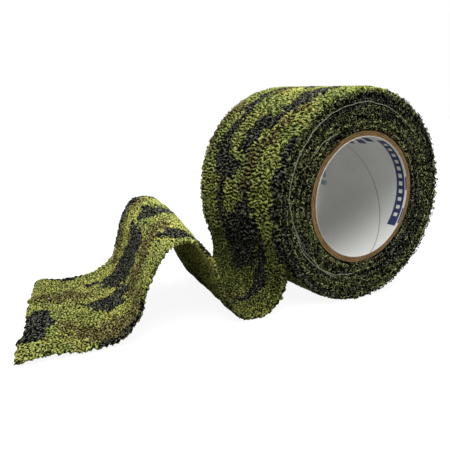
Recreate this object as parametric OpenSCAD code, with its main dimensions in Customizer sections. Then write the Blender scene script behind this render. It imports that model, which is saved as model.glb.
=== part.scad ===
// Roll of self-clinging elastic crepe wrap on a paperboard core, with its free end paid out.
// Millimetres, +Z up. The roll's axis is the Y axis and the origin is the middle of the core's bore.
// The paid-out strip leaves the roll towards -X and rests on the same floor as the roll.

/* [Strip] */
// Width of the strip, which is also the width of the core
strip_w = 50.8; // [48:0.1:54]
// Thickness of one wound turn, under tension
turn_t = 0.7; // [0.5:0.05:0.72]
// Radial distance from one turn to the next
turn_pitch = 0.76; // [0.74:0.01:0.8]
// Turns on the core, counting the one that pays out
turns = 19; // [17:1:20]
// Thickness of the paid-out strip, which has relaxed and puffed up
tail_t = 1.1; // [0.8:0.1:1.3]
// Angle round the roll at which the strip leaves it, counted from +X over the top
peel_angle = 205; // [202:1:207]
// How far the strip's middle stands off its wound place where it leaves the roll
peel_lift = 0.4; // [0.35:0.05:0.6]

/* [Core] */
// Diameter of the core's bore
bore_d = 42; // [40:0.5:44]
// Thickness of the white paper liner
liner_t = 0.2; // [0.15:0.05:0.3]
// Thickness of each of the kraft board plies
ply_t = 0.6; // [0.5:0.05:0.7]
// Thickness of the adhesive strip that starts the first turn
starter_t = 0.1; // [0.05:0.05:0.2]
// Part of the core that the adhesive strip covers, in degrees
starter_angle = 30; // [15:5:60]

/* [Bend lines] */
// Part of a station's spacing that is left free on each side of a bend line
hinge_u = 0.1; // [0.08:0.01:0.14]

/* [Loose yarns] */
// Diameter of the elastic yarns that lie loose on the roll's side
yarn_d = 0.25; // [0.2:0.05:0.4]
// Gap between those yarns and the side of the roll
yarn_gap = 0.1; // [0.05:0.05:0.2]

/* [Hidden] */
$fn = 96;

// Colours
olive = [0.38, 0.42, 0.17];
dark_olive = [0.20, 0.23, 0.11];
kraft = [0.68, 0.54, 0.37];
liner_white = [0.90, 0.90, 0.88];
glue_amber = [0.80, 0.70, 0.45];
yarn_grey = [0.62, 0.66, 0.52];

// Radii from the bore outwards
bore_r = bore_d / 2;
liner_r = bore_r + liner_t;
ply_r = [for (i = [1:3]) liner_r + i * ply_t];
core_r = ply_r[2];
wrap_r = core_r + starter_t;

// The wound strip is a spiral of half rings. The upper halves are centred on the origin and the
// lower ones half a pitch towards +X, so each half runs into the next without a step.
last_turn = turns - 1;
half_shift = turn_pitch / 2;
function upper_r(turn) = wrap_r + turn * turn_pitch;
function lower_r(turn) = upper_r(turn) + half_shift;
floor_z = -(lower_r(last_turn - 1) + turn_t);

// Where the strip leaves the roll
peel_r = lower_r(last_turn) + turn_t / 2 + peel_lift;
peel_x = half_shift + peel_r * cos(peel_angle);
peel_z = peel_r * sin(peel_angle);

// The paid-out strip's near edge, station by station: [run from the peel line towards -X,
// height above the floor, yaw of the line across the strip, bank of that line]. It drops from the
// roll, turns in a trough on the floor, rises to a crest, falls and ends flat with a slanting cut.
tail_stations = [
    [-1.5, 16.5, 1, 0],
    [-2, 12, 1.5, 0],
    [-1.5, 7.5, 2.5, 0],
    [1, 3.8, 4, 0],
    [5.5, 1.3, 5.5, 0],
    [10.5, 0.6, 7, 0],
    [15.5, 2.3, 8, 1],
    [19.5, 6.5, 9, 1],
    [22.5, 11.5, 9, 1],
    [24, 16.5, 9.5, 2.5],
    [26, 21.5, 9.5, 4.5],
    [29.5, 26.5, 9.5, 5],
    [34, 28.7, 8.5, 5],
    [39.5, 27, 8.5, 5.5],
    [43.5, 23, 9, 4],
    [45.5, 18.5, 10, 2.5],
    [47, 14, 10.5, 2],
    [48.5, 9, 10, 2.5],
    [51, 5, 8, 3],
    [55, 2, 7, 4.5],
    [61, 0.8, 7, 5],
    [68, 0.8, 8, 5],
    [75, 1.6, 11, 5],
    [83.5, 0.7, 18.5, 5]
];
path = concat([[0, peel_z - floor_z, 0, 0]], tail_stations);
last_station = len(path) - 1;
trough_u = 6;
crest_u = 13;
foot_u = 20;
steps_per_station = 3;
edge_step = 0.05;

// A smooth curve through the stations, as a value of u that counts them
function station(u) =
    let (
        i = min(max(floor(u), 0), last_station - 1),
        f = u - i,
        before = path[max(i - 1, 0)],
        from = path[i],
        to = path[i + 1],
        after = path[min(i + 2, last_station)]
    )
    from + f / 2 * (to - before)
    + f * f / 2 * (2 * before - 5 * from + 4 * to - after)
    + f * f * f / 2 * (3 * from - before - 3 * to + after);

function across(s) = [sin(s[2]) * cos(s[3]), cos(s[2]) * cos(s[3]), sin(s[3])];
function near_edge(u) =
    let (s = station(u))
    [peel_x - s[0], -strip_w / 2, floor_z + s[1]];
function far_edge(u) = near_edge(u) + strip_w * across(station(u));

function unit(v) = v / norm(v);
function along_near(u) = near_edge(min(u + edge_step, last_station)) - near_edge(max(u - edge_step, 0));
function along_far(u) = far_edge(min(u + edge_step, last_station)) - far_edge(max(u - edge_step, 0));
function strip_t(u) = min(turn_t + (tail_t - turn_t) * u / 2, tail_t);

// The four corners of the strip's section at u
function section(u) =
    let (
        w = across(station(u)),
        near_up = unit(cross(w, along_near(u))) * strip_t(u) / 2,
        far_up = unit(cross(w, along_far(u))) * strip_t(u) / 2
    )
    [near_edge(u) - near_up, near_edge(u) + near_up, far_edge(u) + far_up, far_edge(u) - far_up];

module core_tube(inner_r, outer_r) {
    rotate([90, 0, 0])
        difference() {
            cylinder(h = strip_w, r = outer_r, center = true);
            cylinder(h = strip_w + 2, r = inner_r, center = true);
        }
}

// Part of a ring in the roll's own plane, from one angle to another, under 180 degrees apart
module ring_sector(inner_r, thickness, from_angle, to_angle) {
    reach = 4 * (inner_r + thickness);
    intersection() {
        difference() {
            circle(r = inner_r + thickness);
            circle(r = inner_r);
        }
        polygon([
            [0, 0],
            reach * [cos(from_angle), sin(from_angle)],
            reach * [cos((from_angle + to_angle) / 2), sin((from_angle + to_angle) / 2)],
            reach * [cos(to_angle), sin(to_angle)]
        ]);
    }
}

module half_ring(inner_r, shift, side) {
    reach = inner_r + 2 * turn_t;
    translate([shift, 0])
        intersection() {
            difference() {
                circle(r = inner_r + turn_t);
                circle(r = inner_r);
            }
            translate([-reach, side > 0 ? 0 : -reach])
                square([2 * reach, reach]);
        }
}

module roll_wide() {
    rotate([90, 0, 0])
        linear_extrude(strip_w, center = true)
            children();
}

module tail_piece(from_u, to_u) {
    steps = ceil((to_u - from_u) * steps_per_station);
    rows = [for (i = [0:steps]) section(from_u + (to_u - from_u) * i / steps)];
    points = [for (row = rows) each row];
    sides = [
        for (i = [0:steps - 1], j = [0:3])
            let (a = 4 * i + j, b = 4 * i + (j + 1) % 4)
                each [[a, b, b + 4], [a, b + 4, a + 4]]
    ];
    polyhedron(points = points, faces = concat([[0, 3, 2], [0, 2, 1]], sides,
        [for (e = [[0, 1, 2], [0, 2, 3]]) e + 4 * steps * [1, 1, 1]]));
}

module loose_yarn(radius, centre, from_angle, to_angle) {
    rotate([90, 0, 0])
        translate([centre[0], centre[1], strip_w / 2 + yarn_gap + yarn_d / 2])
            rotate([0, 0, from_angle])
                rotate_extrude(angle = to_angle - from_angle)
                    translate([radius, 0])
                        circle(d = yarn_d, $fn = 16);
}

// The core: a paper liner inside three kraft plies
module core_liner() {
    color(liner_white)
        core_tube(bore_r, liner_r);
}

module core_ply_inner() {
    color(kraft)
        core_tube(liner_r, ply_r[0]);
}

module core_ply_middle() {
    color(kraft)
        core_tube(ply_r[0], ply_r[1]);
}

module core_ply_outer() {
    color(kraft)
        core_tube(ply_r[1], ply_r[2]);
}

// The adhesive that holds the strip's first turn to the core
module starter_strip() {
    color(glue_amber)
        roll_wide()
            ring_sector(core_r, starter_t, 0, starter_angle);
}

// All the turns but the last
module wound_strip() {
    color(dark_olive)
        roll_wide()
            for (turn = [0:last_turn - 1]) {
                half_ring(upper_r(turn), 0, 1);
                half_ring(lower_r(turn), half_shift, -1);
            }
}

// The last turn, over the top of the roll and down to the line where the strip leaves it
module outer_turn() {
    end_angle = peel_angle - hinge_u * 5 / peel_r * 180 / PI;
    color(olive)
        roll_wide() {
            half_ring(upper_r(last_turn), 0, 1);
            translate([half_shift, 0])
                ring_sector(lower_r(last_turn), turn_t, 180, end_angle);
        }
}

// The paid-out strip, cut only where it bends
module tail_drop() {
    color(olive)
        tail_piece(hinge_u, trough_u - hinge_u);
}

module tail_rise() {
    color(dark_olive)
        tail_piece(trough_u + hinge_u, crest_u - hinge_u);
}

module tail_fall() {
    color(olive)
        tail_piece(crest_u + hinge_u, foot_u - hinge_u);
}

module tail_end() {
    color(olive)
        tail_piece(foot_u + hinge_u, last_station);
}

// Elastic yarns that have worked loose from the strip's edge and lie on the side of the roll
module loose_yarn_outer() {
    color(yarn_grey)
        loose_yarn(31.2, [-1.7, 1], 55, 250);
}

module loose_yarn_middle() {
    color(yarn_grey)
        loose_yarn(28.5, [-1.5, -0.5], 198, 265);
}

module loose_yarn_inner() {
    color(yarn_grey)
        loose_yarn(27, [0, 0], 122, 148);
}

core_liner();
core_ply_inner();
core_ply_middle();
core_ply_outer();
starter_strip();
wound_strip();
outer_turn();
tail_drop();
tail_rise();
tail_fall();
tail_end();
loose_yarn_outer();
loose_yarn_middle();
loose_yarn_inner();
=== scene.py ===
"""Roll of self-clinging crepe wrap on a paperboard core, its end paid out over the floor.

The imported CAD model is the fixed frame. Lengths below are millimetres until a mesh is made,
and angles round the roll are degrees from +X over the top.
"""

import math

import bpy
import numpy as np
from mathutils import Matrix, Vector


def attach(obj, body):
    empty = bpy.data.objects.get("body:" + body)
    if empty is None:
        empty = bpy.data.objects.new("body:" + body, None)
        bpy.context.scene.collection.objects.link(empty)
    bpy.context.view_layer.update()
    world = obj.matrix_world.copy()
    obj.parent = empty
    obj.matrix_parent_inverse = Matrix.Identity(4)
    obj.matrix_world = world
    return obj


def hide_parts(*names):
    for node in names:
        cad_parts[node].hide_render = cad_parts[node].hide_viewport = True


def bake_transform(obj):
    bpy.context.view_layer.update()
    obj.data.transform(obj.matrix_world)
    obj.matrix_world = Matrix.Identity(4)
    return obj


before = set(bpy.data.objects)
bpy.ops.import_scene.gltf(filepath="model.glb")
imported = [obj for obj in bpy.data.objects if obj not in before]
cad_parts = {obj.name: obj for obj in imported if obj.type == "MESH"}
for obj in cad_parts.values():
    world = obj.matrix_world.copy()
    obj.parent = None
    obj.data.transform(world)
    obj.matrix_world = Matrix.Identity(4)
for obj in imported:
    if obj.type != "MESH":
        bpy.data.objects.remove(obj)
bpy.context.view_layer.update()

MM = 0.001
SEED = 20
rng = np.random.default_rng(SEED)

# ---------------------------------------------------------------- the strip's path

STRIP_W = 50.8
NEAR_Y = -STRIP_W / 2
FLOOR_Z = -37.1
TURN_T = 0.7
TAIL_T = 1.1
HALF_SHIFT = 0.38  # the roll's lower halves are centred this far towards +X
FIRST_ANGLE = -155.0
PEEL_ANGLE = 205.0
PEEL_LIFT = 0.4
LIFT_FROM = 183.0
LOWER_R = 36.75  # middle of the last turn, below the axis before the top
UPPER_R = 37.13
LAST_R = 37.51  # and below the axis again, past the top
PEEL_X = HALF_SHIFT + (LAST_R + PEEL_LIFT) * math.cos(math.radians(PEEL_ANGLE))
PEEL_Z = (LAST_R + PEEL_LIFT) * math.sin(math.radians(PEEL_ANGLE))

# The paid-out strip's near edge as in the CAD source: run from the peel line towards -X,
# height above the floor, yaw of the line across the strip, bank of that line
PATH = np.array([
    [0, PEEL_Z - FLOOR_Z, 0, 0],
    [-1.5, 16.5, 1, 0],
    [-2, 12, 1.5, 0],
    [-1.5, 7.5, 2.5, 0],
    [1, 3.8, 4, 0],
    [5.5, 1.3, 5.5, 0],
    [10.5, 0.6, 7, 0],
    [15.5, 2.3, 8, 1],
    [19.5, 6.5, 9, 1],
    [22.5, 11.5, 9, 1],
    [24, 16.5, 9.5, 2.5],
    [26, 21.5, 9.5, 4.5],
    [29.5, 26.5, 9.5, 5],
    [34, 28.7, 8.5, 5],
    [39.5, 27, 8.5, 5.5],
    [43.5, 23, 9, 4],
    [45.5, 18.5, 10, 2.5],
    [47, 14, 10.5, 2],
    [48.5, 9, 10, 2.5],
    [51, 5, 8, 3],
    [55, 2, 7, 4.5],
    [61, 0.8, 7, 5],
    [68, 0.8, 8, 5],
    [75, 1.6, 11, 5],
    [83.5, 0.7, 18.5, 5],
])
LAST_STATION = len(PATH) - 1


def smooth(x):
    """0 below 0, 1 above 1, and an even curve between them."""
    x = np.clip(x, 0, 1)
    return x * x * (3 - 2 * x)


def unit(v):
    return v / np.linalg.norm(v, axis=-1, keepdims=True)


def stations(u):
    """The smooth curve through PATH, at values u that count its stations."""
    i = np.clip(np.floor(u).astype(int), 0, LAST_STATION - 1)
    f = (u - i)[:, None]
    before = PATH[np.maximum(i - 1, 0)]
    start = PATH[i]
    end = PATH[i + 1]
    after = PATH[np.minimum(i + 2, LAST_STATION)]
    line = f * (end - before)
    square = f**2 * (2 * before - 5 * start + 4 * end - after)
    cube = f**3 * (3 * start - before - 3 * end + after)
    return start + (line + square + cube) / 2


def tail_lines(u):
    """Near edge and unit vector across the strip for the paid-out part."""
    run, height, yaw, bank = stations(u).T
    yaw, bank = np.radians(yaw), np.radians(bank)
    near = np.stack([PEEL_X - run, np.full_like(run, NEAR_Y), FLOOR_Z + height], 1)
    across = np.stack([np.sin(yaw) * np.cos(bank), np.cos(yaw) * np.cos(bank), np.sin(bank)], 1)
    return near, across


def roll_lines(angle):
    """Near edge and unit vector across the strip for the last turn on the roll."""
    a = np.radians(angle)
    radius = np.where(angle < 0, LOWER_R, np.where(angle < 180, UPPER_R, LAST_R))
    radius = radius + PEEL_LIFT * smooth((angle - LIFT_FROM) / (PEEL_ANGLE - LIFT_FROM))
    centre = np.where((angle > 0) & (angle < 180), 0.0, HALF_SHIFT)
    x = centre + radius * np.cos(a)
    near = np.stack([x, np.full_like(x, NEAR_Y), radius * np.sin(a)], 1)
    across = np.tile([0.0, 1.0, 0.0], (len(x), 1))
    return near, across


ROLL_SAMPLES = 1441
TAIL_SAMPLES = 1201
fine_angle = np.linspace(FIRST_ANGLE, PEEL_ANGLE, ROLL_SAMPLES)
fine_u = np.linspace(0, LAST_STATION, TAIL_SAMPLES)[1:]
roll_near, roll_across = roll_lines(fine_angle)
tail_near, tail_across = tail_lines(fine_u)
fine_near = np.concatenate([roll_near, tail_near])
fine_across = np.concatenate([roll_across, tail_across])
middle = fine_near + STRIP_W / 2 * fine_across
steps = np.linalg.norm(np.diff(middle, axis=0), axis=1)
fine_s = np.concatenate([[0], np.cumsum(steps)])
fine_s -= fine_s[len(fine_angle) - 1]  # 0 where the strip leaves the roll

# One grid over the whole visible strip: s along it, negative on the roll, and w across it
STEP = 0.29
ROWS = int((fine_s[-1] - fine_s[0]) / STEP) + 1
COLS = 176
s_rows = np.linspace(fine_s[0], fine_s[-1], ROWS)
w_cols = np.linspace(0, STRIP_W, COLS)
S, W = np.meshgrid(s_rows, w_cols, indexing="ij")
grid_step = (s_rows[1] - s_rows[0], w_cols[1] - w_cols[0])


def at_rows(values):
    """Values known along the fine curve, at the grid's rows."""
    return np.stack([np.interp(s_rows, fine_s, v) for v in values.T], 1)


def s_at_angle(angle):
    return float(np.interp(angle, fine_angle, fine_s[: len(fine_angle)]))


def s_at_station(u):
    return float(np.interp(u, fine_u, fine_s[len(fine_angle):]))


def row_at(s):
    return int(np.argmin(np.abs(s_rows - s)))


# ---------------------------------------------------------------- noise fields


def filtered(white, keep):
    field = np.fft.ifft2(np.fft.fft2(white) * keep).real
    return (field - field.mean()) / field.std()


def waves(shape, step, period):
    """How many periods each frequency of a grid holds, as one radius."""
    along = np.fft.fftfreq(shape[0], step[0])[:, None] * period[0]
    across = np.fft.fftfreq(shape[1], step[1])[None, :] * period[1]
    return np.hypot(along, across)


def knots(shape, step, period, spread=0.28):
    """Noise whose wavy ridges all lie about one period apart."""
    ring = waves(shape, step, period)
    return filtered(rng.standard_normal(shape), np.exp(-0.5 * ((ring - 1) / spread) ** 2))


def swell(shape, step, period):
    """Soft noise with nothing finer than about one period."""
    ring = waves(shape, step, period)
    return filtered(rng.standard_normal(shape), np.exp(-0.5 * (2 * ring) ** 2))


def past(zone):
    """0 on the strip before a zone along it, 1 past the zone."""
    start, end = zone
    return smooth((S - start) / (end - start))


# Stretched on the roll, the yarns lie in wavy puckers straight across the strip
RELAX_ZONE = (-14, 30)
PUCKER = 1.35
PUCKER_WAVE = 0.42
PUCKER_SHARE = 1.7
TIGHT_SHARE = 0.6
FINE_SHARE_ROLL = 0.2
FINE_SHARE_TAIL = 0.6

grid_shape = (ROWS, COLS)
relaxed = past(RELAX_ZONE)
pucker_wander = PUCKER_WAVE * knots(grid_shape, grid_step, (7.0, 3.8), 0.35)
pucker_break = 0.6 + 0.4 * np.tanh(1.5 * swell(grid_shape, grid_step, (1.6, 2.4)))
pucker_wave = np.cos(math.tau * (S + pucker_wander) / PUCKER) * pucker_break
tight_knots = TIGHT_SHARE * knots(grid_shape, grid_step, (1.25, 3.2), 0.35)
loose_knots = knots(grid_shape, grid_step, (1.0, 1.25), 0.4)
fine_knots = knots(grid_shape, grid_step, (0.68, 0.72))
fine_share = FINE_SHARE_ROLL + (FINE_SHARE_TAIL - FINE_SHARE_ROLL) * relaxed
pucker = (PUCKER_SHARE * pucker_wave + tight_knots) * (1 - relaxed) + loose_knots * relaxed
pucker += fine_share * fine_knots
relief = 0.5 + 0.5 * np.tanh(0.85 * pucker)  # 0 in the pits, 1 on the yarns
crinkle = swell(grid_shape, grid_step, (5, 7))
ripple = swell(grid_shape, grid_step, (16, 22))
blotch = swell(grid_shape, grid_step, (9, 9))
ragged = swell(grid_shape, grid_step, (2.2, 2.2))

# ---------------------------------------------------------------- the camouflage print

# Each stroke is a line through (s, w) points with a radius at each point
DARK_STROKES = [
    [(-17, 18.5, 1.5), (-12, 17, 3.4), (-7.5, 19.5, 6.6), (-2, 23, 9), (3, 27, 9.5),
     (7.5, 30, 6), (11, 28, 2.4)],
    [(-7, 13, 3), (-1, 13.5, 3.2), (5, 13.5, 3.4), (10.5, 14, 3.4), (14.5, 14, 3.1),
     (20, 14, 2.8), (24, 13.6, 2.3), (27.5, 13.2, 1.6)],
    [(-78, 13.5, 4.4), (-68, 14.5, 5), (-60, 14.2, 5), (-53, 13.5, 4), (-47.5, 15, 2.4),
     (-43.5, 18.5, 2.6), (-41, 22.5, 3.8), (-38, 23.4, 4.8), (-34.5, 24.5, 3.4)],
    [(-72, 38, 1), (-60, 39.8, 1.6), (-54, 38.3, 1.9), (-46.5, 37.4, 2.5), (-37.5, 38, 3),
     (-32.5, 39, 3.6), (-27.5, 35.5, 4.6), (-24, 28, 3.4), (-26, 22.5, 2)],
    [(126.5, 11.5, 3.4), (126, 18, 4.8), (125.8, 24, 3.8), (131, 18, 9)],
    [(107.5, 25, 2), (105, 24, 3.8), (101.5, 22, 5.2), (98, 20.8, 5.2)],
    [(98, 24, 1.2), (94, 28, 1.6)],
    [(106, 41, 1.1), (101, 38, 2.4), (98.5, 35, 3.4), (93.5, 32, 6.6), (86.5, 26.5, 8.1),
     (82.5, 25.5, 6.8), (79.5, 27, 3)],
    [(73, 33.5, 2.8), (70.5, 32, 5), (67.5, 31.5, 3.8)],
    [(72.3, 9, 2.6), (69.5, 8.5, 4.1), (66, 5.5, 4), (61, 2, 4)],
    [(117, 50.5, 1.8), (111, 50, 2.4), (107, 50.8, 1.5)],
    [(130, 48.5, 2), (127, 50.8, 1.6)],
    [(110, 0, 0.6), (105, 0, 1.5), (100, 0, 2), (96, 0, 1.4), (92, 0, 0.4)],
    [(88, 50.3, 1.8), (83, 49.5, 3.4), (78, 49.5, 4.2), (73, 50, 3.8), (67, 50.8, 2.4),
     (60, 50.8, 1.6)],
    [(-23, 33, 1.6), (-14, 34, 2), (-5, 33, 3)],
    [(54, 14, 5), (47, 12, 6), (38, 12, 5)],
    [(46, 38, 4), (36, 36, 5)],
    [(-236, 0, 3.2), (-205, 0, 2.4), (-180, 0, 3.4), (-150, 0, 2.6), (-122, 0, 3.2), (-98, 0, 3),
     (-84, 0, 1.4)],
    [(-37, 0, 1.4), (-28, 0, 2.8), (-17, 0, 3.6), (-7, 0, 2.4), (2, 0, 1), (8, 0, 0.6)],
]
BROWN_STROKES = [
    [(-17, 19, 2.5), (-25, 19, 3.2), (-32, 17, 3)],
    [(-36, 13, 2.4), (-43, 10.5, 3), (-50, 8.5, 2.4), (-60, 7, 2.2)],
    [(-72, 34, 2), (-62, 34, 2.5), (-50, 42, 2)],
    [(-52, 46, 2), (-40, 48, 2.5), (-32, 48.5, 2.4)],
    [(79, 15, 3), (74, 15, 4.5), (70, 18, 3)],
    [(131, 40, 2), (119, 35.5, 2.6), (108, 34, 2)],
    [(118, 14, 2.6), (111, 8, 4.4), (101, 4, 5), (92, 6, 3)],
    [(95, 14, 3), (88, 12, 4), (82, 12, 3)],
    [(94, 45, 2.4), (86, 46, 4.6), (79, 46.5, 4.8), (72, 45.5, 3)],
    [(30, 20, 6), (40, 22, 7), (56, 20, 6)],
]
# The part of the roll that is turned away carries the same kind of print, drawn from the seed
HIDDEN_FROM = -232
HIDDEN_TO = -80
HIDDEN_DARK = 16
HIDDEN_BROWN = 11


def drawn_strokes(count, radius):
    strokes = []
    for _ in range(count):
        s = rng.uniform(HIDDEN_FROM, HIDDEN_TO)
        w = rng.uniform(2, STRIP_W - 2)
        stroke = []
        for _ in range(int(rng.integers(2, 5))):
            stroke.append((s, w, radius * rng.uniform(0.6, 1.4)))
            s += rng.uniform(4, 9)
            w += rng.uniform(-5, 5)
        strokes.append(stroke)
    return strokes


def stroke_depth(strokes, s, w):
    """How deep inside the strokes each point lies, in mm, negative outside them."""
    depth = np.full(np.shape(s), -99.0)
    for stroke in strokes:
        for (s0, w0, r0), (s1, w1, r1) in zip(stroke, stroke[1:]):
            span = (s1 - s0) ** 2 + (w1 - w0) ** 2
            t = np.clip(((s - s0) * (s1 - s0) + (w - w0) * (w1 - w0)) / span, 0, 1)
            away = np.hypot(s - s0 - t * (s1 - s0), w - w0 - t * (w1 - w0))
            depth = np.maximum(depth, r0 + t * (r1 - r0) - away)
    return depth


DARK_EDGE = 0.8  # how wide the print's edge is
BROWN_EDGE = 2.0
dark_depth = stroke_depth(DARK_STROKES + drawn_strokes(HIDDEN_DARK, radius=3.6), S, W)
brown_depth = stroke_depth(BROWN_STROKES + drawn_strokes(HIDDEN_BROWN, radius=3.0), S, W)
dark = smooth(0.5 + (dark_depth + 0.9 * ragged + 0.5 * crinkle) / DARK_EDGE)
brown = smooth(0.5 + (brown_depth + 1.1 * ragged + 0.6 * crinkle) / BROWN_EDGE) * (1 - dark)

# ---------------------------------------------------------------- surfaces of the strip

EDGE_ROUND = 0.6
EDGE_SCALLOP = 0.32
SCALLOP_REACH = 2.5
RIM_DROP = 0.9  # the wound strip's edges lie this much lower than its middle
RIM_REACH = 2.6
RIM_ZONE = (-10, 6)  # where they rise to its level, as the strip leaves the roll
PUFF_ZONE = (0, 12)  # where the strip gets thicker, as it relaxes
KNOT_ROLL = 0.36  # half the height of the knots
KNOT_TAIL = 0.28
CRINKLE = 0.06
LOOSE_CRINKLE = 0.12
LOOSE_RIPPLE = 0.16
LOOSE_ZONE = (-30, 0)  # where these larger folds set in
CUT_WALK = 0.5
CUT_REACH = 4.0
UNDER_SHIFT = (3, 5)  # rows and columns, so that the inner face's knots are its own
UNDER_ZONE = (1, 7)  # where they set in
FLOOR_DIP = 0.1

near_line = at_rows(fine_near)
across_line = at_rows(fine_across)

# The edges wander a little, and so does the cut end
edge_walk = EDGE_SCALLOP * knots((ROWS, 2), (grid_step[0], 1.0), (2.2, 0.0), 0.5)
near_pull = edge_walk[:, :1] * np.clip(1 - W / SCALLOP_REACH, 0, 1)
far_pull = edge_walk[:, 1:] * np.clip(1 - (STRIP_W - W) / SCALLOP_REACH, 0, 1)
w_real = W + near_pull + far_pull
surface = near_line[:, None, :] + w_real[..., None] * across_line[:, None, :]
cut_walk = CUT_WALK * swell((COLS, 2), (grid_step[1], 1.0), (2.5, 0.0))[:, 0]
at_cut = np.clip(1 - (s_rows[-1] - s_rows) / CUT_REACH, 0, 1)
along = unit(np.gradient(surface, axis=0))
surface = surface + (at_cut[:, None] * cut_walk[None, :])[..., None] * along
outward = unit(np.cross(np.gradient(surface, axis=1), along))

edge_near = np.minimum(W, STRIP_W - W)
edge_all = np.minimum(edge_near, s_rows[-1] - S)
rounding = np.sqrt(np.clip(1 - (1 - np.clip(edge_all / EDGE_ROUND, 0, 1)) ** 2, 0.06, 1))
thickness = TURN_T + (TAIL_T - TURN_T) * past(PUFF_ZONE)
rim_drop = RIM_DROP * np.clip(1 - edge_near / RIM_REACH, 0, 1) ** 2 * (1 - past(RIM_ZONE))
knot_height = KNOT_ROLL + (KNOT_TAIL - KNOT_ROLL) * relaxed
height = knot_height * (2 * relief - 1)
loose_bulk = LOOSE_CRINKLE * crinkle + LOOSE_RIPPLE * ripple * relaxed
lift = loose_bulk * past(LOOSE_ZONE) + CRINKLE * crinkle - rim_drop
under_relief = np.roll(relief, UNDER_SHIFT, (0, 1))
under_height = KNOT_TAIL * (2 * under_relief - 1) * past(UNDER_ZONE)
top = surface + outward * (lift + rounding * (thickness / 2 + height))[..., None]
bottom = surface + outward * (lift - rounding * (thickness / 2 + under_height))[..., None]
top[..., 2] = np.maximum(top[..., 2], FLOOR_Z - FLOOR_DIP)
bottom[..., 2] = np.maximum(bottom[..., 2], FLOOR_Z - FLOOR_DIP)

# ---------------------------------------------------------------- meshes


def grid_quads(index):
    """Quads over a grid of vertex numbers."""
    corners = [index[:-1, :-1], index[:-1, 1:], index[1:, 1:], index[1:, :-1]]
    return np.stack([c.ravel() for c in corners], 1)


def band_quads(upper, lower):
    """Quads between two lines of vertices of the same length."""
    return np.stack([upper[:-1], lower[:-1], lower[1:], upper[1:]], 1)


def slab_quads(rows, cols):
    """Quads all round a slab: its upper grid of vertices, then its lower one. The ends come last."""
    up = np.arange(rows * cols).reshape(rows, cols)
    down = up + rows * cols
    return np.concatenate([
        grid_quads(up), grid_quads(down)[:, ::-1],
        band_quads(up[:, 0], down[:, 0]), band_quads(down[:, -1], up[:, -1]),
        band_quads(down[0], up[0]), band_quads(up[-1], down[-1]),
    ])


def tube_grid(points, sides):
    """Numbers of the vertices of a tube, point by point and closed all round."""
    index = np.arange(points * sides).reshape(points, sides)
    return np.concatenate([index, index[:, :1]], 1)


def tube_points(line, out, beside, thick, sides):
    """Rings of points round a line, or round many lines at once."""
    turn = math.tau * np.arange(sides) / sides
    ring = out[..., None, :] * np.cos(turn)[:, None] + beside[..., None, :] * np.sin(turn)[:, None]
    return line[..., None, :] + thick[..., None, None] * ring


def in_scene(name, data):
    made = bpy.data.objects.new(name, data)
    bpy.context.scene.collection.objects.link(made)
    return made


def add_object(name, points, quads, fields, material, flat_faces=0):
    """A smooth-shaded object from points in mm. The last flat_faces quads stay flat."""
    mesh = bpy.data.meshes.new(name)
    mesh.from_pydata((points * MM).tolist(), [], quads.tolist())
    shading = np.ones(len(quads), bool)
    if flat_faces:
        shading[-flat_faces:] = False
    mesh.polygons.foreach_set("use_smooth", shading)
    for field, values in fields.items():
        if values.ndim == 2:
            attribute = mesh.attributes.new(field, "FLOAT_VECTOR", "POINT")
            attribute.data.foreach_set("vector", values.astype(np.float32).ravel())
        else:
            attribute = mesh.attributes.new(field, "FLOAT", "POINT")
            attribute.data.foreach_set("value", values.astype(np.float32).ravel())
    mesh.materials.append(material)
    mesh.update()
    return in_scene(name, mesh)


TAIL_WARM = 0.66  # how far the free end's green is from the dull one to the bright one
ROLL_DULL = 0.28  # how much duller it is on the roll, where the strip is stretched
ROLL_PITS = 0.06  # and how much darker its pits are painted there: painted shade in the pits
WARM_SPREAD = 0.18
UNDER_PRINT = 0.2  # how much of the print shows through on the inner face
UNDER_PAINTED_LIGHT = 1.35  # painted light: the inner face's colour is painted brighter

# Painted light and shade along the strip: how bright its colour is painted at places along it. It is
# painted darkest on the drop and in the trough, which lie in shade, and brightest on the roll and at
# the crest
PAINTED_LIGHT_S = [-80, -45, 0, 12, 30, 40, 52, 64, 76, 90, 130]
PAINTED_LIGHT = [1.66, 1.15, 1, 0.74, 0.58, 0.68, 1.1, 1.5, 1.12, 0.98, 0.93]
SHADE_PITS = 0.45  # painted shade: how much darker the pits are painted where the strip is in its own shade
SHADE_DULL = 0.7  # painted shade: how much duller and darker the green is painted there
DARK_PITS = 0.3  # how much of that painted pit shade the pits of the dark print get
DROP_PAINTED_LIFT = 0.8  # painted light: the dark print on the drop is painted brighter, around DROP_S, to lessen the painted shade there
DROP_S = 6.0
DROP_REACH = 16.0


# painted light and shade, read at places along the strip
def painted_light_along(s):
    return np.interp(s, PAINTED_LIGHT_S, PAINTED_LIGHT)


def strip_fields(rows, relief_values, shown=1.0, lit=1.0):
    """What the material reads on a stretch of the strip's grid, one value for each point."""
    s, w, dark_here, tight = S[rows], W[rows], dark[rows], 1 - relaxed[rows]
    shaded = np.clip(1 - painted_light_along(s), 0, 1)
    # painted shade in the pits, more on the roll and where the strip is in shade
    deeper = (ROLL_PITS * tight + SHADE_PITS * shaded) * (1 - (1 - DARK_PITS) * dark_here)
    on_drop = np.exp(-(((s - DROP_S) / DROP_REACH) ** 2))
    tone = painted_light_along(s) * (1 + DROP_PAINTED_LIFT * on_drop * dark_here)
    # the mix of the dull and bright greens: random blotches and a duller roll, and painted shade
    # where the strip is in shade
    warmth_and_painted_shade = TAIL_WARM + WARM_SPREAD * blotch[rows] - ROLL_DULL * tight - SHADE_DULL * shaded
    return {
        "relief": (relief_values[rows] - deeper).ravel(),
        "dark": shown * dark_here.ravel(),
        "brown": shown * brown[rows].ravel(),
        # tone is painted light and shade, multiplied into the colour
        "tone": lit * tone.ravel(),
        "blotch": warmth_and_painted_shade.ravel(),
        "place": np.stack([s, w, np.zeros_like(s)], -1).reshape(-1, 3),
    }


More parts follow.
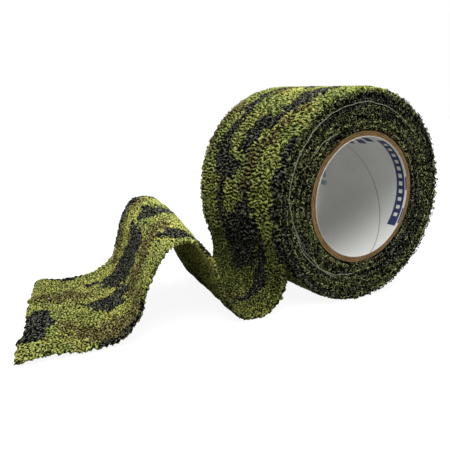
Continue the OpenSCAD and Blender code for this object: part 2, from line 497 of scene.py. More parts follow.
def strip_piece(name, s_from, s_to):
    """A closed stretch of the strip between two places along it."""
    rows = slice(row_at(s_from), row_at(s_to) + 1)
    upper, lower = top[rows], bottom[rows]
    fields = {}
    under = strip_fields(rows, under_relief, UNDER_PRINT, UNDER_PAINTED_LIGHT)
    for field, values in strip_fields(rows, relief).items():
        fields[field] = np.concatenate([values, under[field]])
    points = np.concatenate([upper.reshape(-1, 3), lower.reshape(-1, 3)])
    flat = 0 if s_to >= s_rows[-1] else 2 * (COLS - 1)
    return add_object(name, points, slab_quads(len(upper), COLS), fields, fabric, flat)


def revolved(name, loop, around, fields_of, displaced, material):
    """A closed ring made by turning a closed loop of (r, y) points about the roll's axis."""
    a = np.radians(np.linspace(0, 360, around, endpoint=False))[:, None]
    r = np.broadcast_to(loop[None, :, 0], (around, len(loop)))
    y = np.broadcast_to(loop[None, :, 1], r.shape)
    r, y = displaced(r, y, a)
    points = np.stack([r * np.cos(a), y, r * np.sin(a)], -1)
    index = tube_grid(*r.shape)
    index = np.concatenate([index, index[:1]], 0)
    quads = grid_quads(index)[:, [0, 3, 2, 1]]  # facing out
    fields = {}
    for field, values in fields_of(r, y, a).items():
        fields[field] = values.reshape(-1, 3) if values.ndim == 3 else values.ravel()
    return add_object(name, points.reshape(-1, 3), quads, fields, material)


# ---------------------------------------------------------------- materials


def linear(red, green, blue):
    """A colour given as 0 to 255 display values, as the shader wants it."""
    def one(v):
        v /= 255
        return v / 12.92 if v <= 0.04045 else ((v + 0.055) / 1.055) ** 2.4
    return (one(red), one(green), one(blue), 1.0)


class Nodes:
    """Short calls for the nodes that the materials share."""

    def __init__(self, name):
        self.material = bpy.data.materials.new(name)
        self.material.use_nodes = True
        self.tree = self.material.node_tree
        self.shader = self.tree.nodes["Principled BSDF"]

    def link(self, value, socket):
        if isinstance(value, bpy.types.NodeSocket):
            self.tree.links.new(value, socket)
        else:
            socket.default_value = value

    def feed(self, node, values):
        """Links or sets a node's inputs, by their names or places."""
        for socket, value in values.items():
            self.link(value, node.inputs[socket])

    def field(self, name, vector=False):
        node = self.tree.nodes.new("ShaderNodeAttribute")
        node.attribute_name = name
        return node.outputs["Vector" if vector else "Fac"]

    def noise(self, place, scale, detail=2.0, roughness=0.5, stretch=None):
        if stretch is not None:
            mapping = self.tree.nodes.new("ShaderNodeMapping")
            self.feed(mapping, {"Scale": stretch, "Vector": place})
            place = mapping.outputs[0]
        node = self.tree.nodes.new("ShaderNodeTexNoise")
        self.feed(node, {"Vector": place, "Scale": scale, "Detail": detail, "Roughness": roughness})
        return node.outputs["Fac"]

    def math(self, operation, a, b):
        node = self.tree.nodes.new("ShaderNodeMath")
        node.operation = operation
        self.feed(node, {0: a, 1: b})
        return node.outputs[0]

    def threads(self, place, scale, width):
        """Thin curling lines, 1 along them and 0 between them."""
        level = self.math("SUBTRACT", self.noise(place, scale, 2.0, 0.55), 0.5)
        return self.span(self.math("ABSOLUTE", level, 0.0), 0.0, width, 1.0, 0.0)

    def span(self, value, low, high, to_low=0.0, to_high=1.0):
        """value from low..high to to_low..to_high, with soft ends."""
        node = self.tree.nodes.new("ShaderNodeMapRange")
        node.interpolation_type = "SMOOTHSTEP"
        self.feed(node, {"Value": value, "From Min": low, "From Max": high})
        self.feed(node, {"To Min": to_low, "To Max": to_high})
        return node.outputs[0]

    def mix(self, factor, a, b, blend_type="MIX"):
        node = self.tree.nodes.new("ShaderNodeMix")
        node.data_type = "RGBA"
        node.blend_type = blend_type
        self.feed(node, {"Factor": factor, "A": a, "B": b})
        return node.outputs["Result"]

    def bump(self, height, strength, distance_mm, normal=None):
        node = self.tree.nodes.new("ShaderNodeBump")
        self.feed(node, {"Strength": strength, "Distance": distance_mm * MM, "Height": height})
        if normal is not None:
            self.link(normal, node.inputs["Normal"])
        return node.outputs[0]

    def finish(self, colour, roughness, normal, sheen=0.0, specular=0.5):
        self.feed(self.shader, {"Base Color": colour, "Roughness": roughness, "Normal": normal})
        self.feed(self.shader, {"Sheen Weight": sheen, "Specular IOR Level": specular})
        return self.material


def crepe_material(name, shades, yarn_from, yarn_to, thread_part, thread_scale, painted_highlight_part):
    """Knotty printed yarn. shades gives (pit, yarn) colours for both greens, brown and dark; the
    dark pit colours are painted shade in the hollows between the yarns.

    The relief from yarn_from to yarn_to goes from pit to yarn, threads add thread_part to it,
    and a whitish painted highlight is laid on the yarns' tops.
    """
    n = Nodes(name)
    place = n.field("place", vector=True)
    relief_value = n.field("relief")
    fibre = n.noise(place, 2.6, 3.0, 0.6, (1.0, 0.6, 1.0))
    grain = n.noise(place, 7.0, 2.0)
    thread = n.threads(place, thread_scale, 0.05)
    yarn = n.math("ADD", relief_value, n.span(fibre, 0.3, 0.7, -0.2, 0.2))
    yarn = n.math("ADD", yarn, n.span(thread, 0.0, 1.0, -0.25 * thread_part, 0.75 * thread_part))
    yarn = n.span(yarn, yarn_from, yarn_to)
    cloud = n.field("blotch")
    crown = n.span(yarn, 0.5, 1.0)
    tones = {}
    for tone, (pit, lit) in shades.items():
        tones[tone] = n.mix(crown if tone == "dark" else yarn, linear(*pit), linear(*lit))
    strand = n.span(n.noise(place, 0.9, 2.0, 0.6), 0.32, 0.68, -0.5, 0.5)
    green = n.mix(n.span(n.math("ADD", cloud, strand), 0.0, 1.0), tones["dull"], tones["green"])
    olive = n.span(n.noise(place, 0.45, 3.0, 0.65), 0.46, 0.68, 0.0, 0.5)
    green = n.mix(olive, green, tones["brown"])
    speck = n.span(n.noise(place, 1.1, 2.0), 0.3, 0.7, -0.5, 0.5)
    brown_mask = n.span(n.math("ADD", n.field("brown"), speck), 0.3, 0.9)
    dark_mask = n.span(n.math("ADD", n.field("dark"), n.math("MULTIPLY", speck, 0.6)), 0.36, 0.64)
    colour = n.mix(brown_mask, green, tones["brown"])
    colour = n.mix(dark_mask, colour, tones["dark"])
    # painted highlight: the yarns' tops are painted whitish where the grain is high, less in the
    # dark print
    painted_highlight = n.math("MULTIPLY", n.span(yarn, 0.75, 1.0), n.span(grain, 0.4, 0.65, 0.0, painted_highlight_part))
    painted_highlight = n.math("MULTIPLY", painted_highlight, n.span(dark_mask, 0.0, 1.0, 1.0, 0.4))
    colour = n.mix(painted_highlight, colour, linear(190, 193, 150))
    # painted light and shade: the colour is multiplied by the tone attribute, and by a fine grain
    # that varies it at random and paints bright glints on single fibres
    grey = n.math("MULTIPLY", n.span(grain, 0.3, 0.7, 0.6, 1.35), n.field("tone"))
    shade = n.tree.nodes.new("ShaderNodeCombineColor")
    n.feed(shade, {"Red": grey, "Green": grey, "Blue": grey})
    colour = n.mix(1.0, colour, shade.outputs[0], "MULTIPLY")
    normal = n.bump(thread, 0.6, 0.16)
    normal = n.bump(grain, 0.35, 0.08, normal)
    rough = n.span(fibre, 0.3, 0.7, 0.95, 0.78)
    return n.finish(colour, rough, normal, sheen=0.008, specular=0.04)


def wrap_fabric():
    # each pair is a pit colour, painted shade in the hollows between the yarns, and a yarn colour
    shades = {
        "green": ((20, 24, 1), (197, 198, 98)),
        "dull": ((10, 16, 1), (132, 148, 74)),
        "brown": ((7, 5, 1), (107, 95, 50)),
        "dark": ((1, 1, 1), (78, 80, 72)),
    }
    return crepe_material("wrap_fabric", shades, yarn_from=0.24, yarn_to=0.96,
                          thread_part=0.45, thread_scale=0.62, painted_highlight_part=0.5)


def wrap_side():
    # each pair is a pit colour, painted shade in the hollows between the yarns, and a yarn colour
    shades = {
        "green": ((2, 4, 1), (176, 188, 118)),
        "dull": ((2, 4, 1), (134, 146, 82)),
        "brown": ((2, 2, 1), (132, 124, 80)),
        "dark": ((1, 1, 1), (108, 112, 96)),
    }
    return crepe_material("wrap_side", shades, yarn_from=0.57, yarn_to=1.12,
                          thread_part=0.9, thread_scale=0.85, painted_highlight_part=0.6)


def yarn_elastic():
    n = Nodes("yarn_elastic")
    place = n.field("place", vector=True)
    twist = n.noise(place, 1.6, 2.0)
    colour = n.mix(n.span(twist, 0.3, 0.7), linear(120, 126, 100), linear(196, 200, 174))
    return n.finish(colour, n.span(twist, 0.3, 0.7, 0.55, 0.8), n.bump(twist, 0.4, 0.05))


def kraft_board():
    n = Nodes("kraft_board")
    place = n.field("place", vector=True)
    fibre = n.noise(place, 1.4, 4.0, 0.65, (0.5, 2.2, 1.0))
    stain = n.noise(place, 0.15, 2.0)
    colour = n.mix(n.span(fibre, 0.25, 0.75), linear(120, 88, 40), linear(206, 168, 112))
    colour = n.mix(n.span(stain, 0.4, 0.7, 0.0, 0.5), colour, linear(112, 82, 38))
    # the edge field darkens the board: partly the dark joints between the plies, partly painted
    # shade in the gaps between them and in the tear
    colour = n.mix(n.field("edge"), colour, linear(34, 22, 8))
    return n.finish(colour, n.span(fibre, 0.3, 0.7, 0.75, 0.95), n.bump(fibre, 0.6, 0.12))


def liner_paper():
    n = Nodes("liner_paper")
    place = n.field("place", vector=True)
    fibre = n.noise(place, 0.9, 4.0, 0.6)
    cloud = n.noise(place, 0.08, 2.0)
    colour = n.mix(n.span(fibre, 0.3, 0.7), linear(205, 206, 202), linear(212, 213, 209))
    # painted light: the bore's upper half, which faces down into shade, is painted lighter
    colour = n.mix(n.field("over"), colour, linear(238, 239, 235))
    colour = n.mix(n.span(cloud, 0.35, 0.7, 0.0, 0.3), colour, linear(208, 207, 199))
    colour = n.mix(n.span(n.field("blue"), 0.35, 0.65), colour, linear(40, 48, 92))
    colour = n.mix(n.span(n.field("teal"), 0.35, 0.65, 0.0, 0.75), colour, linear(84, 140, 152))
    colour = n.mix(n.span(n.field("seam"), 0.1, 0.6), colour, linear(44, 46, 42))
    return n.finish(colour, n.span(fibre, 0.3, 0.7, 0.42, 0.58), n.bump(fibre, 0.15, 0.05))


def starter_glue():
    n = Nodes("starter_glue")
    place = n.field("place", vector=True)
    smear = n.noise(place, 0.5, 3.0)
    colour = n.mix(n.span(smear, 0.3, 0.7), linear(150, 124, 70), linear(206, 186, 128))
    return n.finish(colour, n.span(smear, 0.3, 0.7, 0.25, 0.45), n.bump(smear, 0.3, 0.05))


FLOOR_GLOW = 0.91  # seen by the camera only, so that the floor hardly lights the roll
FLOOR_GREY = 0.2


def plain_floor():
    n = Nodes("plain_floor")
    ray = n.tree.nodes.new("ShaderNodeLightPath")
    glow = n.span(ray.outputs["Is Camera Ray"], 0, 1, 0, FLOOR_GLOW)
    grey = (FLOOR_GREY, FLOOR_GREY, FLOOR_GREY, 1)
    n.feed(n.shader, {"Base Color": grey, "Roughness": 0.9, "Specular IOR Level": 0.1})
    n.feed(n.shader, {"Emission Color": (1, 1, 1, 1), "Emission Strength": glow})
    return n.material


fabric = wrap_fabric()
side_fabric = wrap_side()
elastic = yarn_elastic()
kraft = kraft_board()

# ---------------------------------------------------------------- the strip's pieces

# Where the roll's skin is cut into pieces, and the stations where the paid-out strip is
LOW_TO = -36.0
SIDE_TO = 57.0
PEEL_FROM = 150.0
TROUGH_FROM = 3.0
CREST_FROM = 9.5
END_FROM = 16.5

# For each stretch that crosses a bend of the strip, the bodies before and after the bend line, a
# point on that line, the strip's run across it, and how far the bend reaches on each side, in mm
BENDS = {
    "wrap_peel": ("roll", "drop", (-33.98, 0, -16.5), (0, 0, -1), 5.5),
    "wrap_trough": ("drop", "rise", (-41.38, -0.19, -36.5), (-0.9925, 0.1219, 0), 4.5),
    "wrap_crest": ("rise", "fall", (-64.24, -0.38, -6.19), (-0.989, 0.148, 0), 5.5),
    "wrap_end": ("fall", "end", (-85.89, -0.27, -33.11), (-0.9925, 0.1219, 0), 6.0),
}
STRETCHES = [
    ("wrap_turn_low", fine_s[0], s_at_angle(LOW_TO), []),
    ("wrap_turn_side", s_at_angle(LOW_TO), s_at_angle(SIDE_TO), []),
    ("wrap_turn_top", s_at_angle(SIDE_TO), s_at_angle(PEEL_FROM), ["outer_turn"]),
    ("wrap_peel", s_at_angle(PEEL_FROM), s_at_station(TROUGH_FROM), ["tail_drop"]),
    ("wrap_trough", s_at_station(TROUGH_FROM), s_at_station(CREST_FROM), ["tail_rise"]),
    ("wrap_crest", s_at_station(CREST_FROM), s_at_station(END_FROM), ["tail_fall"]),
    ("wrap_end", s_at_station(END_FROM), fine_s[-1], ["tail_end"]),
]


def move_with(piece, stretch):
    """Attaches piece to the roll, unless the named stretch is in BENDS; then only bakes its
    transform into its mesh.
    """
    if stretch not in BENDS:
        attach(piece, "roll")
        return
    before, after, line, direction, reach = BENDS[stretch]
    line, direction = Vector(line) * MM, Vector(direction) * MM
    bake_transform(piece)


# Small loops of yarn stand out of the strip, most of all along its edges. Each size is a range.
LOOP_POINTS = 5
LOOP_SIDES = 4
LOOP_ROOT = 0.25  # the part of a loop's height that is sunk in the fabric
EDGE_LOOPS_PER_MM = 5.0
EDGE_LOOP_LENGTH = (0.7, 1.5)
EDGE_LOOP_HEIGHT = (0.3, 0.62)
EDGE_LOOP_RADIUS = (0.1, 0.17)
EDGE_LOOP_RELIEF = (0.45, 0.92)
LOOP_LOOKS = (5, 60)  # keeps the loops' noise apart from each other's


def yarn_loops(name, base, run, rise, length, height, radius, fields, material):
    """Arches of yarn: base points, unit run and rise directions, and a size for each loop."""
    t = np.linspace(0, 1, LOOP_POINTS)
    arch = 4 * t * (1 - t) - LOOP_ROOT
    line = (
        base[:, None, :]
        + (t - 0.5)[None, :, None] * length[:, None, None] * run[:, None, :]
        + arch[None, :, None] * height[:, None, None] * rise[:, None, :]
    )
    tangent = unit(np.gradient(line, axis=1))
    out = unit(np.cross(tangent, np.cross(rise, run)[:, None, :]))
    beside = np.cross(tangent, out)
    thick = radius[:, None] * (0.6 + 0.4 * np.sin(np.pi * t))[None, :]
    points = tube_points(line, out, beside, thick, LOOP_SIDES)
    index = tube_grid(LOOP_POINTS, LOOP_SIDES)
    one = np.concatenate([grid_quads(index), index[:1, :-1], index[-1:, -2::-1]])
    per_loop = LOOP_POINTS * LOOP_SIDES
    quads = (one[None] + per_loop * np.arange(len(base))[:, None, None]).reshape(-1, 4)
    spread_fields = {k: np.repeat(v, per_loop, axis=0) for k, v in fields.items()}
    return add_object(name, points.reshape(-1, 3), quads, spread_fields, material)


def edge_loops(name, s_from, s_to):
    """Loops along both edges of a stretch, on its upper face and over its rim."""
    count = int((s_to - s_from) * EDGE_LOOPS_PER_MM)
    rows = rng.integers(row_at(s_from) + 2, row_at(s_to) - 2, count)
    inward = rng.exponential(1.0, count)
    columns = np.clip((inward / grid_step[1]).astype(int), 0, COLS // 2)
    far = rng.random(count) < 0.5
    columns = np.where(far, COLS - 1 - columns, columns)
    normal = outward[rows, columns]
    over = across_line[rows] * np.where(far, 1.0, -1.0)[:, None]
    lean = np.clip(1.2 - inward, 0, 1)[:, None]
    rise = unit(normal * rng.uniform(0.2, 1, (count, 1)) + over * lean)
    mixed = along[rows, columns] * rng.normal(0, 1, (count, 1))
    mixed = mixed + across_line[rows] * rng.normal(0, 0.7, (count, 1))
    run = unit(np.cross(rise, np.cross(mixed, rise)))
    base = (top[rows, columns] + surface[rows, columns]) / 2
    place = np.stack([s_rows[rows], w_cols[columns], rng.uniform(*LOOP_LOOKS, count)], 1)
    fields = {
        "relief": rng.uniform(*EDGE_LOOP_RELIEF, count),
        "dark": dark[rows, columns],
        "brown": brown[rows, columns],
        "blotch": 0.5 + WARM_SPREAD * blotch[rows, columns],
        # painted light and shade along the strip, as on the strip under the loops
        "tone": painted_light_along(s_rows[rows]),
        "place": place,
    }
    length = rng.uniform(*EDGE_LOOP_LENGTH, count)
    height = rng.uniform(*EDGE_LOOP_HEIGHT, count)
    radius = rng.uniform(*EDGE_LOOP_RADIUS, count)
    return yarn_loops(name, base, run, rise, length, height, radius, fields, fabric)


for stretch, s_from, s_to, nodes in STRETCHES:
    piece = strip_piece(stretch, s_from, s_to)
    if nodes:
        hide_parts(*nodes)
    loops = edge_loops(stretch.replace("wrap_", "loops_"), s_from, s_to)
    move_with(piece, stretch)
    move_with(loops, stretch)

# ---------------------------------------------------------------- the wound turns

CORE_R = 23.0
WOUND_INNER_R = 23.12
WOUND_OUTER_R = 36.5
PITCH = 0.76
SIDE_STEP = 0.25
WOUND_AROUND = 800
PLATE_STEP = 0.2
PLATE_REACH = 40.0
SIDE_KNOT = 0.28
SIDE_SWELL = 0.12
SIDE_INNER_DIP = 0.35  # the first turns sit this much deeper, beside the core
# RING_SHADE and SLACK_SHADE are painted shade on the roll's side: darker in the grooves between the
# turns' edges and in the slack rings, which sit deeper, and painted brighter on the tight rings
RING_SHADE = 0.35
SLACK_PITCH = 2.25
SLACK_DEPTH = 0.12
SLACK_SHADE = 0.42
RIM_DARK = 1.2
TONE_AROUND = 512
TONE_TURNS = 40
TONE_ARC = 0.46  # mm of arc from one value to the next, on an outer turn


def plate(field_maker):
    """A square of noise in the plane of the roll's side, and a way to read it at points."""
    count = int(2 * PLATE_REACH / PLATE_STEP)
    values = field_maker((count, count), (PLATE_STEP, PLATE_STEP))

    def read(x, z):
        i = np.clip((x + PLATE_REACH) / PLATE_STEP, 0, count - 1.001)
        j = np.clip((z + PLATE_REACH) / PLATE_STEP, 0, count - 1.001)
        i0, j0 = i.astype(int), j.astype(int)
        fi, fj = i - i0, j - j0
        low = values[i0, j0] * (1 - fj) + values[i0, j0 + 1] * fj
        high = values[i0 + 1, j0] * (1 - fj) + values[i0 + 1, j0 + 1] * fj
        return low * (1 - fi) + high * fi

    return read


side_knots = plate(lambda shape, step: knots(shape, step, (0.9, 0.9), 0.35))
side_fine = plate(lambda shape, step: knots(shape, step, (0.65, 0.65), 0.3))
side_swell = plate(lambda shape, step: swell(shape, step, (9, 9)))
turn_noise = swell((TONE_AROUND, TONE_TURNS), (TONE_ARC, 1.0), (34.0, 1.5))


def turn_number(r, a):
    """Which wound turn a point of the side is on, counted out from the core."""
    return (r - WOUND_INNER_R) / PITCH - (np.degrees(a) % 360) / 360 + 1


def turn_tone(r, a):
    """How dark the print is on each turn's edge: it changes along the turn, and the rim is dark."""
    turn = np.clip(turn_number(r, a).astype(int), 0, TONE_TURNS - 1)
    around = ((np.degrees(a) % 360) / 360 * TONE_AROUND).astype(int) % TONE_AROUND
    return turn_noise[np.broadcast_to(around, r.shape), turn] + RIM_DARK * dark_rim(r, a)


def slack_ring(r, x, z):
    """-1 where the turns are wound tight, 1 where they are slack and sit deeper."""
    wander = 0.1 * side_swell(x, z)
    return np.cos(2 * np.pi * ((r - WOUND_INNER_R) / SLACK_PITCH + wander))


def dark_rim(r, a):
    """The outer turns' edge is in the dark print on the side where the strip leaves the roll."""
    return smooth((r - 32) / 2) * smooth((-np.cos(a) - 0.6) / 0.3)


def side_relief(r, y, a):
    x, z = r * np.cos(a), r * np.sin(a)
    flip = np.where(y > 0, 1.0, -1.0)
    rough_value = side_knots(x * flip, z) + 0.5 * side_fine(z, x * flip)
    groove = np.cos(2 * np.pi * turn_number(r, a))
    return 0.5 + 0.5 * np.tanh(0.8 * (rough_value - 0.55 * groove))


def side_shape(r, y, a):
    x, z = r * np.cos(a), r * np.sin(a)
    on_face = smooth((np.abs(y) - 24.2) / 0.8)
    out = np.where(y > 0, 1.0, -1.0)
    inner = smooth((r - WOUND_INNER_R) / 1.2)
    push = SIDE_KNOT * (2 * side_relief(r, y, a) - 1) + SIDE_SWELL * side_swell(x * out, z)
    push = push - SIDE_INNER_DIP * (1 - inner) - SLACK_DEPTH * slack_ring(r, x, z)
    return r, y + out * on_face * push


def side_fields(r, y, a):
    x, z = r * np.cos(a), r * np.sin(a)
    tone = turn_tone(r, a) + 0.3 * side_swell(z, x)
    groove = np.cos(2 * np.pi * turn_number(r, a))
    return {
        "relief": side_relief(r, y, a),
        "dark": smooth((tone - 0.15) / 0.4),
        "brown": smooth((-tone - 1.1) / 0.4),
        "blotch": 0.5 + 0.2 * side_swell(-x, z),
        # tone is painted shade in the grooves and slack rings, and painted light on the tight rings
        "tone": (1 - RING_SHADE * groove) * (1 - SLACK_SHADE * slack_ring(r, x, z)),
        "place": np.stack([x, z, np.broadcast_to(y, r.shape)], -1),
    }


def wound_loop():
    """The wound turns' section: near face, rounded rim, outside, far face and inside."""
    near = [(r, NEAR_Y) for r in np.arange(WOUND_INNER_R, WOUND_OUTER_R - 0.6, SIDE_STEP)]
    for below_rim, inside_edge in ((0.5, 0.05), (0.2, 0.2), (0.05, 0.45), (0, 0.9)):
        near.append((WOUND_OUTER_R - below_rim, NEAR_Y + inside_edge))
    far = [(r, -y) for r, y in reversed(near)]
    return np.array(near + [(WOUND_OUTER_R, 0.0)] + far + [(WOUND_INNER_R, 0.0)])


wound = revolved("wound_roll", wound_loop(), WOUND_AROUND, side_fields, side_shape, side_fabric)
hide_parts("wound_strip")
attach(wound, "roll")


SIDE_LOOPS = 2200
SIDE_LOOP_FROM_R = 24.2
SIDE_LOOP_TO_R = 36.9
SIDE_LOOP_LENGTH = (0.7, 1.5)
SIDE_LOOP_HEIGHT = (0.2, 0.42)
SIDE_LOOP_RADIUS = (0.08, 0.13)
SIDE_LOOP_RELIEF = (0.7, 1.15)


def side_loops(name, facing):
    """Short yarn ends that stand out of the roll's side."""
    count = SIDE_LOOPS
    r = np.sqrt(rng.uniform(SIDE_LOOP_FROM_R**2, SIDE_LOOP_TO_R**2, count))
    a = rng.uniform(0, 2 * np.pi, count)
    x, z = r * np.cos(a), r * np.sin(a)
    y = np.full(count, facing * (-NEAR_Y - 0.1)) - facing * 1.2 * smooth((r - 36) / 1.2)
    base = np.stack([x, y, z], 1)
    radial = np.stack([np.cos(a), np.zeros(count), np.sin(a)], 1)
    around = np.stack([-np.sin(a), np.zeros(count), np.cos(a)], 1)
    rise = np.tile([0.0, facing, 0.0], (count, 1)) + radial * smooth((r - 35.8) / 1)[:, None]
    rise = unit(rise + 0.25 * rng.normal(0, 1, (count, 3)))
    run = radial * rng.normal(0, 1, (count, 1)) + around * rng.normal(0, 0.8, (count, 1))
    run = unit(np.cross(rise, np.cross(run, rise)))
    fields = {
        "relief": rng.uniform(*SIDE_LOOP_RELIEF, count),
        "dark": smooth((turn_tone(r, a) - 0.3) / 0.6),
        "brown": np.zeros(count),
        "blotch": rng.uniform(0.2, 0.8, count),
        # painted shade in the slack rings, and painted light on the tight rings
        "tone": 1 - SLACK_SHADE * slack_ring(r, x, z),
        "place": np.stack([x, z, rng.uniform(*LOOP_LOOKS, count)], 1),
    }
    length = rng.uniform(*SIDE_LOOP_LENGTH, count)
    height = rng.uniform(*SIDE_LOOP_HEIGHT, count)
    radius = rng.uniform(*SIDE_LOOP_RADIUS, count)
    return yarn_loops(name, base, run, rise, length, height, radius, fields, side_fabric)


for name, facing in (("loops_near_side", -1.0), ("loops_far_side", 1.0)):
    loops = side_loops(name, facing)
    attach(loops, "roll")

# ---------------------------------------------------------------- the core

BORE_R = 21.0
LINER_R = 21.2
PLY_T = 0.6
SEAM_ANGLE = -8.6  # where the liner's butt seam crosses SEAM_Y
SEAM_Y = -12.0
SEAM_TURN = 4.95  # degrees of seam for each mm along the bore
SEAM_HALF = 0.38
SEAM_DEPTH = 0.08
LINER_AROUND = 400
PLY_AROUND = 480
HALF_W = STRIP_W / 2

# Plain printed blocks inside the bore: angle from, angle to, y from, y to
BLUE_BLOCKS = [
    (-34, 67, -24.4, -20.8), (4, 18, -25.4, -24.9), (-30, -14, -25.4, -24.9),
    (62, 72, -18.5, -14.5), (56, 64, -13, -9), (66, 76, -8, -4), (54, 60, -6, -2.5),
]
BLUE_GAPS = [(8 * i - 24, 8 * i - 20, -23.4, -21.8) for i in range(11)]
TEAL_BLOCKS = [(-8, -2, 18.5, 22), (1, 11, 19.5, 21.5)]


def block_mask(blocks, angle, y, soft=0.12):
    """1 inside the blocks and 0 outside, with edges that are soft by about soft mm."""
    mask = np.zeros(np.broadcast(angle, y).shape)
    turn = (angle + 180) % 360 - 180
    for a0, a1, y0, y1 in blocks:
        arc = np.minimum(turn - a0, a1 - turn) * math.radians(BORE_R)
        inside = np.minimum(arc, np.minimum(y - y0, y1 - y))
        mask = np.maximum(mask, smooth(0.5 + inside / soft / 2))
    return mask


def seam_distance(a, y):
    """Distance from the liner's seam, in mm along the arc."""
    off = np.degrees(a) - SEAM_ANGLE - SEAM_TURN * (y - SEAM_Y)
    off = (off + 180) % 360 - 180
    return np.abs(off) * math.radians(BORE_R)


def liner_shape(r, y, a):
    inner = r < BORE_R + 0.05
    groove = np.clip(1 - seam_distance(a, y) / SEAM_HALF, 0, 1)
    wave = 0.02 * np.sin(3 * a + 0.08 * y) * inner
    return r + wave + inner * SEAM_DEPTH * groove, y


def liner_fields(r, y, a):
    angle = np.degrees(a)
    inner = r < BORE_R + 0.12
    blue = block_mask(BLUE_BLOCKS, angle, y) - block_mask(BLUE_GAPS, angle, y)
    return {
        "blue": np.clip(blue, 0, 1) * inner,
        "teal": block_mask(TEAL_BLOCKS, angle, y) * inner,
        # painted light: lighter towards the top of the bore
        "over": np.broadcast_to(smooth(0.5 + 0.5 * np.sin(a)), r.shape),
        "seam": np.clip(1 - seam_distance(a, y) / SEAM_HALF, 0, 1) * inner,
        "place": np.stack([np.broadcast_to(a * BORE_R, r.shape), y, 20 * r], -1),
    }


def tube_loop(inner_r, outer_r, half_width, y_steps, bevel):
    """Section of a tube with softened edges, as a closed loop of (r, y) points."""
    inside = [(inner_r, y) for y in np.linspace(half_width - bevel, bevel - half_width, y_steps)]
    outside = [(outer_r, -y) for _, y in inside]
    near_end = [(r, -half_width) for r in np.linspace(inner_r + bevel, outer_r - bevel, 7)]
    far_end = [(r, half_width) for r, _ in reversed(near_end)]
    return np.array(inside + near_end + outside + far_end)


liner = revolved("core_liner_paper", tube_loop(BORE_R, LINER_R, HALF_W, 150, 0.05),
                 LINER_AROUND, liner_fields, liner_shape, liner_paper())
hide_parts("core_liner")
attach(liner, "roll")

TORN_PLY = "core_ply_outer"
TORN_ANGLE = 131.0
TORN_HALF = 8.0
TORN_DEPTH = 1.1
PLY_R = 22.0  # about the middle of the board


def board_noise():
    around = swell((PLY_AROUND, 4), (math.tau * PLY_R / PLY_AROUND, 1.0), (1.2, 0.0))
    return 0.06 * around[:, :1]


def kraft_ply(ply, node):
    """One ply of the core, rough at its ends. The outer one is torn on the near side."""
    inner_r = LINER_R + ply * PLY_T
    middle_r = LINER_R + (ply + 0.5) * PLY_T
    rough_edge = board_noise()
    thick_walk = board_noise()

    def torn(a):
        off = np.abs(np.degrees(a) - TORN_ANGLE)
        return np.clip(1 - off / TORN_HALF, 0, 1) * (node == TORN_PLY)

    def shape(r, y, a):
        end = smooth((np.abs(y) - 25.2) / 0.2)
        inset = 0.08 + 0.05 * ply + rough_edge + TORN_DEPTH * smooth(3 * torn(a)) * (y < 0)
        wall = np.where(r > middle_r, -0.05, 0.04)
        return r + end * (wall + 0.4 * thick_walk), y - np.sign(y) * end * inset

    def looks(r, y, a):
        # partly painted shade: the board is darkened next to the joints between the plies and in the
        # torn place, where the gaps lie in shade
        rim = smooth((np.abs(r - middle_r) - 0.1) / 0.15)
        return {
            "edge": np.clip(0.85 * rim + 0.5 * torn(a), 0, 1),
            "place": np.stack([np.broadcast_to(a * PLY_R, r.shape), r * 3, y], -1),
        }

    loop = tube_loop(inner_r, inner_r + PLY_T, HALF_W, 14, 0.1)
    name = node.replace("core_ply", "kraft_ply")
    return revolved(name, loop, PLY_AROUND, looks, shape, kraft)


for ply, node in enumerate(["core_ply_inner", "core_ply_middle", "core_ply_outer"]):
    board = kraft_ply(ply, node)
    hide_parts(node)
    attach(board, "roll")

# The adhesive that starts the first turn, a thin smear between the core and the strip
GLUE_ANGLES = (0.0, 30.0)
GLUE_IN = 0.01
GLUE_OUT = 0.07
GLUE_MARGIN = 0.2


def glue_strip():
    rows, cols = 60, 100
    wander = 0.5 * swell((rows, cols), (0.2, 0.5), (3, 6))
    angle = np.radians(np.linspace(*GLUE_ANGLES, rows))
    side = np.linspace(NEAR_Y + GLUE_MARGIN, -NEAR_Y - GLUE_MARGIN, cols)
    a, y = np.meshgrid(angle, side, indexing="ij")
    outer = CORE_R + GLUE_OUT + 0.015 * np.tanh(wander)
    faces = [np.stack([r * np.cos(a), y, r * np.sin(a)], -1) for r in (outer, CORE_R + GLUE_IN)]
    points = np.concatenate([face.reshape(-1, 3) for face in faces])
    looks = {"place": points}
    return add_object("starter_adhesive", points, slab_quads(rows, cols), looks, starter_glue())


glue = glue_strip()
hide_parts("starter_strip")
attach(glue, "roll")

# ---------------------------------------------------------------- loose yarns

# Each yarn lies on the roll's near side through (radius, angle) points
YARNS = {
    "loose_yarn_outer": [
        (30.9, 55), (31.7, 73), (32.4, 92), (33.0, 112), (33.2, 131), (33.0, 158),
        (32.6, 176), (30.4, 198), (29.0, 222), (29.5, 250),
    ],
    "loose_yarn_middle": [(30.6, 199), (30.5, 216), (29.2, 234), (28.2, 249), (27.0, 265)],
    "loose_yarn_inner": [(25.9, 124), (27.0, 131), (27.8, 139), (27.8, 146)],
}
YARN_R = 0.1
YARN_SIDES = 6
YARN_STEP = 0.4
YARN_ARC_R = 30.0
YARN_OFF_SIDE = 0.26
YARN_SMOOTHING = 17  # points that the route is averaged over


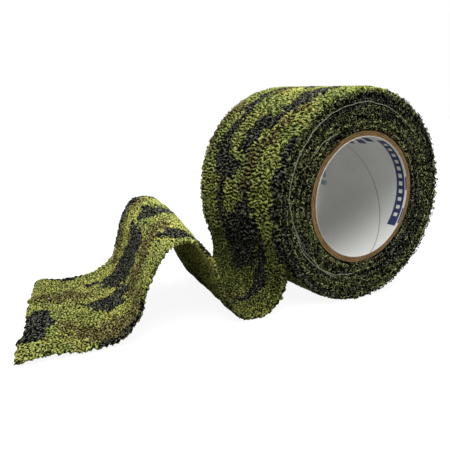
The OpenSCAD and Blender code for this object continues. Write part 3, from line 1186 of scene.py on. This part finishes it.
def loose_yarn(name, through):
    radius_at, angle_at = np.array(through, float).T
    count = int(np.ptp(angle_at) * math.radians(YARN_ARC_R) / YARN_STEP)
    angle = np.linspace(angle_at[0], angle_at[-1], count)
    wiggle = swell((count, 2), (YARN_STEP, 1.0), (3.0, 0.0))
    radius = np.pad(np.interp(angle, angle_at, radius_at), YARN_SMOOTHING // 2, mode="edge")
    radius = np.convolve(radius, np.ones(YARN_SMOOTHING) / YARN_SMOOTHING, "valid")
    radius = radius + 0.15 * wiggle[:, 0]
    y = NEAR_Y - YARN_OFF_SIDE - 0.04 * wiggle[:, 1]
    a = np.radians(angle)
    line = np.stack([radius * np.cos(a), y, radius * np.sin(a)], 1)
    tangent = unit(np.gradient(line, axis=0))
    out = unit(np.cross(tangent, [0.0, 1.0, 0.0]))
    thick = YARN_R * (1 + 0.15 * np.sin(np.arange(count) * 1.7))
    points = tube_points(line, out, np.cross(tangent, out), thick, YARN_SIDES)
    index = tube_grid(count, YARN_SIDES)
    first, last = index[0], index[-1]
    caps = [first[[0, 1, 2, 3]], first[[0, 3, 4, 5]], last[[3, 2, 1, 0]], last[[5, 4, 3, 0]]]
    quads = np.concatenate([grid_quads(index), caps])
    place = np.stack([a * YARN_ARC_R, 0 * a, 0 * a], 1)
    looks = {"place": np.repeat(place, YARN_SIDES, axis=0)}
    name = name.replace("loose_yarn", "elastic_yarn")
    return add_object(name, points.reshape(-1, 3), quads, looks, elastic)


for node, through in YARNS.items():
    yarn = loose_yarn(node, through)
    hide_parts(node)
    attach(yarn, "roll")

# ---------------------------------------------------------------- floor, light and camera

# In metres and degrees
FLOOR_HALF = 3.0
FLOOR_GAP = 0.00025
CAMERA_AT = (-0.1393, -0.1650, 0.0309)
CAMERA_TURN = -30.9
CAMERA_DOWN = 12.4
CAMERA_LEAN = 1.73
CAMERA_LENS = 44.66


def add_floor():
    z = FLOOR_Z * MM - FLOOR_GAP
    corners = [(FLOOR_HALF * x, FLOOR_HALF * y, z) for x, y in ((-1, -1), (1, -1), (1, 1), (-1, 1))]
    mesh = bpy.data.meshes.new("plain_floor")
    mesh.from_pydata(corners, [], [(0, 1, 2, 3)])
    mesh.materials.append(plain_floor())
    floor = in_scene("plain_floor", mesh)


def add_sun(name, towards, strength, angle):
    """A soft light from far away in the direction towards, angle degrees across."""
    data = bpy.data.lights.new(name, "SUN")
    data.energy = strength
    data.angle = math.radians(angle)
    in_scene(name, data).rotation_euler = Vector(towards).to_track_quat("Z", "Y").to_euler()


def add_world(seen, lighting):
    """White behind everything, and a softer even light from all round."""
    world = bpy.data.worlds.new("studio")
    world.use_nodes = True
    tree = world.node_tree
    backdrop = tree.nodes["Background"]
    backdrop.inputs["Color"].default_value = (1, 1, 1, 1)
    ray = tree.nodes.new("ShaderNodeLightPath")
    level = tree.nodes.new("ShaderNodeMapRange")
    level.inputs["To Min"].default_value = lighting
    level.inputs["To Max"].default_value = seen
    tree.links.new(ray.outputs["Is Camera Ray"], level.inputs["Value"])
    tree.links.new(level.outputs[0], backdrop.inputs["Strength"])
    bpy.context.scene.world = world


def add_camera():
    data = bpy.data.cameras.new("camera")
    data.sensor_width = 36
    data.lens = CAMERA_LENS
    data.clip_start = 0.005
    data.clip_end = 20
    camera = in_scene("camera", data)
    turn = Matrix.Rotation(math.radians(CAMERA_TURN), 4, "Z")
    tilt = Matrix.Rotation(math.radians(90 - CAMERA_DOWN), 4, "X")
    lean = Matrix.Rotation(math.radians(CAMERA_LEAN), 4, "Z")
    camera.matrix_world = Matrix.Translation(CAMERA_AT) @ turn @ tilt @ lean
    bpy.context.scene.camera = camera


add_floor()
add_world(seen=1.0, lighting=0.3)
add_sun("key", (-0.3, -0.2, 1.0), strength=3.8, angle=60)
add_sun("fill", (-0.2, -1.0, 0.15), strength=0.5, angle=60)
add_camera()
bpy.context.scene.view_settings.view_transform = "Standard"
